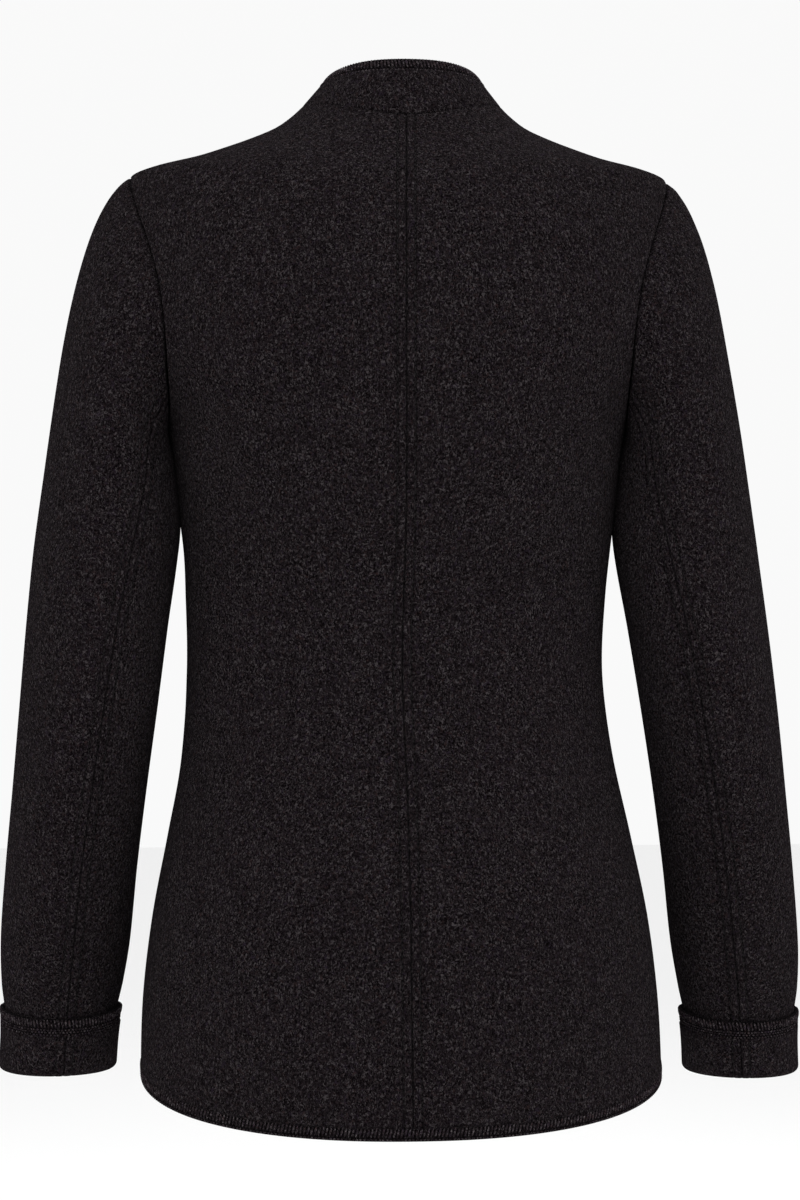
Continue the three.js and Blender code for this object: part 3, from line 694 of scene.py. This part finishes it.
SLEEVE_FOLDS = [
    (181, 40, -232, (0.3, -0.35, -1), 40, 9, 1.5),
    (196, 52, -246, (0.5, -0.2, -1), 46, 10, -0.9),
    (206, 60, -300, (0.35, -0.1, -1), 60, 12, 0.9),
    (186, 40, -402, (1, 0.45, -0.35), 34, 8, 1.3),
    (192, 38, -424, (1, 0.4, -0.2), 30, 8, -0.8),
    (196, 30, -446, (1, 0.5, 0.1), 32, 9, 1.2),
    (232, -44, -404, (1, -0.2, 0.4), 34, 8, 1.2),
    (236, -50, -438, (1, -0.2, 0.1), 36, 9, 1.5),
    (240, -56, -470, (1, -0.1, -0.3), 30, 8, 1.0),
    (262, 4, -560, (0.1, -0.2, -1), 70, 14, 0.9),
    (204, -10, -540, (0.2, -0.3, -1), 66, 12, 1.0),
    (228, 12, -606, (1, 0.1, -0.2), 26, 7, 1.1),
    (236, 10, -622, (1, 0.1, 0.15), 28, 6, 1.2),
    (244, -84, -616, (1, 0.1, 0.1), 26, 7, 1.1),
    (222, -12, -152, (0.2, 0.3, -1), 52, 14, 0.8),
    (157, 1, -238, (0, 0, 1), 26, 16, -1.1),
    (154, 3, -282, (0, 0, 1), 22, 16, -1.3),
]


def sleeve_grid(upper):
    downs = np.concatenate([np.linspace(0, 0.05, 6)[:-1], np.linspace(0.05, 1, 46)[:-1]])
    downs = np.concatenate([downs, np.linspace(1, down_at(SLEEVE_END), 118)])
    lines = []
    for down in downs:
        elbow, forearm = seam_angle("elbow", down), seam_angle("forearm", down)
        start, stop = (elbow, 2 * np.pi - forearm) if upper else (elbow, -forearm)
        dense = np.linspace(start, stop, 500)
        line, _ = sleeve_skin(dense, np.full_like(dense, down))
        travelled = along(line)
        total = travelled[-1]
        inner = np.linspace(SEAM_STATIONS[-1], total - FOREARM_STATIONS[0], 46 if upper else 26)[1:-1]
        stations = np.concatenate([SEAM_STATIONS, inner, total - np.array(FOREARM_STATIONS)])
        angles = np.interp(stations, travelled, dense)
        points, normals = sleeve_skin(angles, np.full_like(angles, down))
        lines.append((points, normals, stations, total - stations))
    points, normals, from_elbow, from_forearm = (np.array(part) for part in zip(*lines))
    from_head = along(points.swapaxes(0, 1)).T
    pressed = relief(from_elbow, True) + relief(from_forearm, False) - 0.8 * bell(from_head, 1.0)
    ease = 0.5 * bell(from_head - 7, 5) * (0.5 + 0.5 * np.sin(np.arange(points.shape[1]) * 1.9))
    height = pressed + (ease if upper else 0)
    height = height + folds(points, SLEEVE_FOLDS) * smoothstep(from_head, 2, 20)
    return shaded(past_edges(points + normals * height[..., None], 1.5), pressed), normals


def both_sides(points):
    return (("left", points), ("right", points * np.array([-1, 1, 1, 1])[: points.shape[-1]]))


for part in ("upper", "under"):
    points, normals = sleeve_grid(part == "upper")
    for (side, placed), (_, outs) in zip(both_sides(points), both_sides(normals)):
        name = f"sleeve_{part}_{side}"
        piece = cloth_piece(f"{name}_wool", turn_outward(placed, outs), wool)
        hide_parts(name)
        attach(piece, "root")
        places, directions, threads = stitch_places(placed[3:, ROW_COLUMN, :3], outs[3:, ROW_COLUMN])
        stitches = strokes(f"{name}_topstitching", places, directions, threads, sewing_thread, *STITCH_SIZE)
        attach(stitches, "root")


# ---- Turned-back cuffs ----------------------------------------------------------------------------------
# A deep cuff is sewn to the end of each sleeve and turned back over it. It stands a little clear of the
# sleeve at its upper edge, folds round the sleeve end and returns inside. Its seam is stitched down on
# both sides.
CUFF_TOP = -636.0
CUFF_DIP = 4.0
CUFF_BAND = 12.0
CUFF_CLEAR = 1.1
CUFF_FLARE = 0.6
CUFF_FOLD = {"z": -678.0, "middle": -1.1, "across": 4.4, "down": 4.5}
CUFF_INSIDE = -5.5
CUFF_RETURN = -668.0
CUFF_MIDDLE = -660.0
CUFF_RADIUS = 42.0


def cuff_profile():
    """(distance outside the sleeve, height, share of the dip), from the upper edge to the inside."""
    top = CUFF_TOP - CUFF_BAND
    bottom, middle, across, down = CUFF_FOLD.values()
    steps = np.linspace(0, 1, 16)
    wall = [
        (CUFF_CLEAR + CUFF_FLARE * (1 - t) ** 2 + CLOTH, top + (bottom - top) * t, 1 - t)
        for t in steps
    ]
    turns = np.linspace(0, np.pi, 14)[1:-1]
    fold = [(middle + across * np.cos(a), bottom - down * np.sin(a), 0) for a in turns]
    back = [(CUFF_INSIDE, z, 0) for z in np.linspace(bottom, CUFF_RETURN, 5)]
    return wall + fold + back


def cuff_grid():
    profile = cuff_profile()
    seam = seam_angle("elbow", down_at(CUFF_MIDDLE))
    near = np.array(SEAM_STATIONS) / CUFF_RADIUS
    between = np.linspace(near[-1], 2 * np.pi - near[-1], 96)[1:-1]
    turns = np.concatenate([near, between, 2 * np.pi - near[::-1]])
    angles = seam + turns
    travelled = np.minimum(turns, 2 * np.pi - turns) * CUFF_RADIUS
    rows = []
    for outward, z, dip in profile:
        low = z - dip * CUFF_DIP * np.maximum(0, np.sin(angles))
        rows.append(sleeve_skin(angles, down_at(low), np.full_like(angles, outward)))
    points, normals = (np.array(part) for part in zip(*rows))
    soft = np.array([max(0.0, min(1.0, (z + 683) / 4)) for _, z, _ in profile])[:, None]
    pressed = relief(np.broadcast_to(travelled, points.shape[:2]), True) * soft
    height = pressed + 0.5 * np.sin(angles * 3 + 1.2)[None] * soft * 0.6
    across = np.cross(np.gradient(points, axis=1), np.gradient(points, axis=0))
    across /= np.linalg.norm(across, axis=-1, keepdims=True)
    across *= np.sign(np.sum(across[0] * normals[0], axis=-1).mean())
    return shaded(points + across * height[..., None], pressed), across


points, normals = cuff_grid()
for (side, placed), (_, outs) in zip(both_sides(points), both_sides(normals)):
    turned = placed if side == "left" else placed[:, ::-1]
    outward = outs if side == "left" else outs[:, ::-1]
    cuff = cloth_piece(f"cuff_{side}_wool", turn_outward(turned, outward), wool, ring=True)
    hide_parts(f"cuff_{side}")
    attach(cuff, "root")
    columns = (ROW_COLUMN, -1 - ROW_COLUMN)
    lines = [stitch_places(placed[1:20, column, :3], outs[1:20, column]) for column in columns]
    places, directions, threads = (np.concatenate(part) for part in zip(*lines))
    name = f"cuff_{side}_topstitching"
    stitches = strokes(name, places, directions, threads, sewing_thread, *STITCH_SIZE)
    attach(stitches, "root")


# ---- Stand collar ---------------------------------------------------------------------------------------
# One band of the same wool stands up from the neckline and leans in towards the neck. Its two front ends
# are rounded, and the left one tucks in with the left front.
COLLAR = {"half": 52.5, "back": 50.0, "front": 72.0, "top": 27.0, "side": 5.0, "drop": 63.0, "power": 1.6}
COLLAR_CORNER = 18.0
COLLAR_END = 0.6
COLLAR_FOLDS = [
    (20, 56, 4, (1, 0, 0.1), 30, 6, 0.5),
    (-30, 50, 8, (1, 0, -0.1), 26, 5, 0.45),
]


def collar_point(side, angle, share):
    angle, share = np.broadcast_arrays(np.asarray(angle, dtype=float), np.asarray(share, dtype=float))
    turn = np.cos(angle)
    bottom = np.stack(neckline(angle), axis=-1) + np.array([0, 0, TOUCH])
    y = turn * np.where(turn > 0, COLLAR["back"], COLLAR["front"])
    drop = COLLAR["drop"] * np.maximum(angle / (np.pi / 2) - 1, 0) ** COLLAR["power"]
    drop = drop + COLLAR["side"] * np.sin(angle) ** 4
    top = np.stack([COLLAR["half"] * np.sin(angle), y, COLLAR["top"] - drop], axis=-1)
    point = bottom + (top - bottom) * share[..., None]
    if side > 0:
        point[..., 1] += np.where(turn < 0, tuck(point[..., 0], -1), 0)
    return point * np.array([side, 1, 1])


def collar_skin(side, angle, share):
    """Points of the collar with its normals."""
    here = collar_point(side, angle, share)
    ahead = collar_point(side, np.minimum(angle + 0.01, 3.138), share)
    ahead = ahead - collar_point(side, np.maximum(angle - 0.01, 0), share)
    up = collar_point(side, angle, share + 0.05) - collar_point(side, angle, share - 0.05)
    normal = -np.cross(ahead, up) * side
    normal /= np.linalg.norm(normal, axis=-1, keepdims=True)
    return here, normal


def collar_height(angle):
    return np.linalg.norm(collar_point(-1, angle, 1.0) - collar_point(-1, angle, 0.0), axis=-1)


END_HEIGHT = float(collar_height(np.radians(162.0)))


def collar_outline(inset, steps):
    """Angle and share of the height along half the collar's edge, from the front end to the centre back."""
    r = COLLAR_CORNER
    turns = np.linspace(0, np.pi / 2, steps)
    ends = [(inset, 0), *((inset, (END_HEIGHT - r) * t) for t in (0.33, 0.67))]
    ends += [(r - (r - inset) * math.cos(a), END_HEIGHT - r + (r - inset) * math.sin(a)) for a in turns]
    angles = [math.pi - math.asin((COLLAR_END + a) / NECK["half"]) for a, _ in ends]
    shares = [b / END_HEIGHT for _, b in ends]
    rest = np.linspace(angles[-1], 0, 90)[1:]
    blend = smoothstep(rest, math.radians(150), angles[-1])
    tall = collar_height(rest) * (1 - blend) + END_HEIGHT * blend
    return np.concatenate([angles, rest]), np.concatenate([shares, 1 - inset / tall])


def whole_collar(half):
    angles, shares = half
    right = collar_skin(-1, angles, shares)
    left = collar_skin(1, angles[:-1][::-1], shares[:-1][::-1])
    return tuple(np.concatenate([a, b]) for a, b in zip(right, left))


angles, shares = collar_outline(EDGING_WIDE, 8)
angles, shares = angles[2:], shares[2:]
bands = [whole_collar((angles, shares * t)) for t in np.linspace(0, 1, 14)]
points, normals = (np.array(part) for part in zip(*bands))
middle = len(angles) - 1
normals[:, middle, 0] = 0
height = -0.8 * bell(along(points.swapaxes(0, 1)).T, 1.0)
height = height + folds(points, COLLAR_FOLDS)
band = past_edges(points + normals * height[..., None], 1.2)
collar = cloth_piece("collar_wool", turn_outward(band, normals), wool)
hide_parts("collar")
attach(collar, "root")


# ---- Knitted edging -------------------------------------------------------------------------------------
# A narrow wool braid finishes the collar, the front edges, the hem and the cuffs. It is knitted in
# slanting ribs with rows of small bead-like stitches along one side, and it is sewn on edge to edge.
# The braid is one wool in two copies: its ground is made darker as painted shade between the ribs, and its
# ribs and beads are made lighter as painted light on their raised tops.
knit = wool_material("knitted_edging_painted_shade", 0.4)
rib_wool = wool_material("knitted_ribs_painted_light", 2.1)
RIB_PITCH = 2.5
PROUD = 0.5
RIB_SIZE = (0.85, 0.8)
BEAD_SIZE = (0.95, 0.78, 0.75)


def edging(node, points, normals, ribs, beads, lean, sunk=0.3):
    """points is a grid, a row for each share of the width; ribs and beads say at which shares they lie."""
    rows = points.shape[0]
    shares = np.linspace(0, 1, rows)
    crown = PROUD * (1 - (2 * shares - 1) ** 4)[:, None, None]
    points = points - normals * sunk
    base = cloth_piece(f"{node}_braid", turn_outward(points + normals * (crown - 0.5), normals), knit)
    travelled = along(points[rows // 2])
    stops = np.arange(RIB_PITCH * 0.6, travelled[-1] - RIB_PITCH * 0.6, RIB_PITCH)

    def read(grid, share, at_stops):
        level = share * (rows - 1)
        low = np.minimum(np.floor(level).astype(int), rows - 2)
        line = grid[low] * (1 - (level - low)) + grid[low + 1] * (level - low)
        return np.stack([np.interp(at_stops, travelled, line[:, k]) for k in range(3)], axis=-1)

    pieces = [base]
    low = read(points, ribs[0], stops - lean)
    high = read(points, ribs[1], stops + lean)
    outs = read(normals, (ribs[0] + ribs[1]) / 2, stops)
    places = (low + high) / 2 + outs * 0.15
    reach = np.linalg.norm(high - low, axis=-1) / 2 + 0.35
    pieces.append(strokes(f"{node}_ribs", places, high - low, outs, rib_wool, reach, *RIB_SIZE, 7))
    spots, runs, tops = [], [], []
    for k, share in enumerate(beads):
        shift = stops + RIB_PITCH / 2 * (k % 2)
        spots.append(read(points, share, shift) + read(normals, share, shift) * 0.12)
        runs.append(read(points, share, shift + 0.5) - read(points, share, shift))
        tops.append(read(normals, share, shift))
    spots, runs, tops = (np.concatenate(part) for part in (spots, runs, tops))
    pieces.append(strokes(f"{node}_beads", spots, runs, tops, rib_wool, *BEAD_SIZE))
    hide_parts(node)
    for piece in pieces:
        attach(piece, "root")


def hem_line(up):
    turns = np.linspace(0, np.pi / 2, 150)
    lap = float(angle_at(LAP["wide"], HEM["front"]))
    front = np.concatenate([np.linspace(-lap, 0, 8)[:-1], turns])
    right = ((-1, -1, front), (-1, 1, turns[:-1][::-1]))
    left = ((1, 1, turns[1:]), (1, -1, front[:-1][::-1]))
    parts = []
    for side, face, angles in (*right, *left):
        z = hem_at(angles, face) + up
        x = across_at(angles, z)
        press = tuck(x, face) if side > 0 else 0 * x
        y = np.where(angles >= np.pi / 2 - 1e-9, 0, depth_at(x, z, face))
        parts.append(skin(side * x, z, face, press, y))
    return tuple(np.concatenate(part) for part in zip(*parts))


lines = [hem_line(up) for up in np.linspace(0, EDGING_WIDE, 9)]
points, normals = (np.array(part) for part in zip(*lines))
edging("edging_hem", points, normals, (0.3, 0.97), [0.12], lean=-0.7)

for side, name in ((1, "left"), (-1, "right")):
    columns = []
    for x in np.linspace(LAP["wide"] - EDGING_WIDE, LAP["wide"], 9):
        bottom = float(hem_at(angle_at(x, HEM["front"]), -1)) + EDGING_WIDE + TOUCH
        top = float(neckline(np.pi - np.arcsin(x / NECK["half"]))[2])
        z = np.linspace(bottom, top, 260)
        across = np.full_like(z, -side * x)
        columns.append(skin(across, z, -1, np.full_like(z, LAP["deep"] if side > 0 else 0.0)))
    points, normals = (np.array(part) for part in zip(*columns))
    edging(f"edging_front_{name}", points, normals, (0.03, 0.7), [0.88], lean=-0.7)

lines = [whole_collar(collar_outline(inset, 14)) for inset in np.linspace(EDGING_WIDE, 0, 9)]
points, normals = (np.array(part) for part in zip(*lines))
edging("edging_collar", points, normals, (0.3, 0.97), [0.12], lean=0.7)

ring = np.linspace(0, 2 * np.pi, 200)
rows = []
for share in np.linspace(0, 1, 10):
    z = CUFF_TOP - CUFF_BAND * (1 - share) - CUFF_DIP * np.maximum(0, np.sin(ring))
    rows.append(sleeve_skin(ring, down_at(z), np.full_like(ring, CUFF_CLEAR + CUFF_FLARE + CLOTH)))
points, normals = (np.array(part) for part in zip(*rows))
for (side, placed), (_, outs) in zip(both_sides(points), both_sides(normals)):
    lean = 0.6 if side == "left" else -0.6
    edging(f"edging_cuff_{side}", placed, outs, (0.48, 0.98), [0.36, 0.21, 0.05], lean, 1.0)


# ---- Buttons --------------------------------------------------------------------------------------------
# Six round dark horn buttons close the front. Each is turned with a raised rim and a dished middle, has
# four holes and is sewn on with thread, on a short thread shank.
BUTTON_HEIGHTS = (-88, -182, -277, -371, -466, -560)
BUTTON_PROFILE = [
    (0.0, 1.2), (7.6, 1.2), (9.2, 1.9), (10.0, 3.1), (9.85, 4.3), (9.1, 5.1), (8.2, 5.2), (7.2, 4.75),
    (6.2, 4.25), (4.5, 4.1), (0.0, 4.1),
]
HOLE_PLACES = [(1.5, 1.5), (-1.5, 1.5), (-1.5, -1.5), (1.5, -1.5)]
HOLE = {"radius1": 0.00075, "radius2": 0.00075, "depth": 0.0004}
HOLE_LEVEL = 0.00402
SHANK = {"radius1": 0.0026, "radius2": 0.0022, "depth": 0.0015}
SHANK_LEVEL = 0.0006
BARS = [[x, y, 4.35] for x in (-1.5, 1.5) for y in (-0.28, 0, 0.28)]
horn, horn_shader, horn_place = new_material("dark_horn", 0.34, 0.35)
streaks = horn_place.out("ShaderNodeMapping", 0, None, Vector=horn_place, Scale=(1.0, 1.0, 4.0))
grain = streaks.noise(160, 4.0).rise(0.35, 0.7)
horn_colour = grain.blend((0.010, 0.0065, 0.0048, 1), (0.038, 0.023, 0.015, 1))
horn.node_tree.links.new(horn_colour.socket, horn_shader.inputs["Base Color"])
turning = horn_place.noise(600, 3.0)
fine = horn_place.node("ShaderNodeBump", None, Strength=0.15, Distance=0.0002, Height=turning)
horn.node_tree.links.new(fine.outputs[0], horn_shader.inputs["Normal"])
shadow = thread_material("hole_shadow", (0.002, 0.0016, 0.0015), 0.9)

for number, z in enumerate(BUTTON_HEIGHTS, start=1):
    foot, normal = skin(np.array([0.0]), np.array([float(z)]), -1)
    seat = Vector(settled("button", foot)[0] / 1000)
    place = Matrix.Translation(seat) @ Vector(normal[0]).to_track_quat("Z", "Y").to_matrix().to_4x4()
    disc = bmesh.new()
    rim = [disc.verts.new((r / 1000, 0, h / 1000)) for r, h in BUTTON_PROFILE]
    edges = [disc.edges.new(pair) for pair in zip(rim, rim[1:])]
    whole_turn = {"angle": math.tau, "steps": 48, "use_merge": True}
    bmesh.ops.spin(disc, geom=rim + edges, cent=(0, 0, 0), axis=(0, 0, 1), **whole_turn)
    bmesh.ops.remove_doubles(disc, verts=disc.verts, dist=1e-6)
    bmesh.ops.recalc_face_normals(disc, faces=disc.faces)
    bmesh.ops.transform(disc, matrix=place, verts=disc.verts)
    button = bpy.data.objects.new(f"horn_button_{number}", bpy.data.meshes.new(f"horn_button_{number}"))
    disc.to_mesh(button.data)
    disc.free()
    button.data.polygons.foreach_set("use_smooth", [True] * len(button.data.polygons))
    button.data.materials.append(horn)
    bpy.context.scene.collection.objects.link(button)
    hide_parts(f"button_{number}")
    # Painted shadow: each of the four holes is a small near-black plug that stands for the shade inside the
    # hole.
    sewing = bmesh.new()
    for x, y in HOLE_PLACES:
        hole = bmesh.ops.create_cone(sewing, cap_ends=True, segments=12, **HOLE)
        bmesh.ops.translate(sewing, verts=hole["verts"], vec=(x / 1000, y / 1000, HOLE_LEVEL))
    bmesh.ops.transform(sewing, matrix=place, verts=sewing.verts)
    holes = bpy.data.objects.new(f"button_hole_shadows_{number}", bpy.data.meshes.new(f"button_hole_shadows_{number}"))
    sewing.to_mesh(holes.data)
    sewing.free()
    holes.data.materials.append(shadow)
    bpy.context.scene.collection.objects.link(holes)
    turn = np.array(place.to_3x3())
    bar_places = np.array(BARS) @ turn.T + foot[0]
    over = np.tile(turn @ np.array([0, 1, 0]), (6, 1))
    outs = np.tile(normal, (6, 1))
    bars = strokes(f"button_thread_{number}", bar_places, over, outs, sewing_thread, 1.9, 0.26, 0.26)
    shank = bmesh.new()
    bmesh.ops.create_cone(shank, cap_ends=True, segments=14, **SHANK)
    bmesh.ops.translate(shank, verts=shank.verts, vec=(0, 0, SHANK_LEVEL))
    bmesh.ops.transform(shank, matrix=place, verts=shank.verts)
    stem = bpy.data.objects.new(f"button_shank_{number}", bpy.data.meshes.new(f"button_shank_{number}"))
    shank.to_mesh(stem.data)
    shank.free()
    stem.data.materials.append(sewing_thread)
    bpy.context.scene.collection.objects.link(stem)
    for piece in (button, holes, bars, stem):
        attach(piece, "root")

# Each button goes through a hole worked in the right front: a cord of close stitches round a slit that
# runs out past the button on the side away from the front edge.
HOLE_LONG = 21.0
HOLE_WIDE = 1.5
HOLE_ASIDE = -2.0
for number, z in enumerate(BUTTON_HEIGHTS, start=1):
    turns = np.linspace(0, 2 * np.pi, 45)[:-1]
    x = HOLE_ASIDE - HOLE_LONG / 2 * np.cos(turns)
    around = z + HOLE_WIDE * np.sin(turns)
    places, outs = skin(x, around, -1)
    ahead = np.roll(places, -1, axis=0) - places
    runs = np.cross(outs, ahead)
    worked = strokes(f"buttonhole_{number}", places, runs, outs, sewing_thread, 1.0, 0.5, 0.45, 5)
    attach(worked, "root")
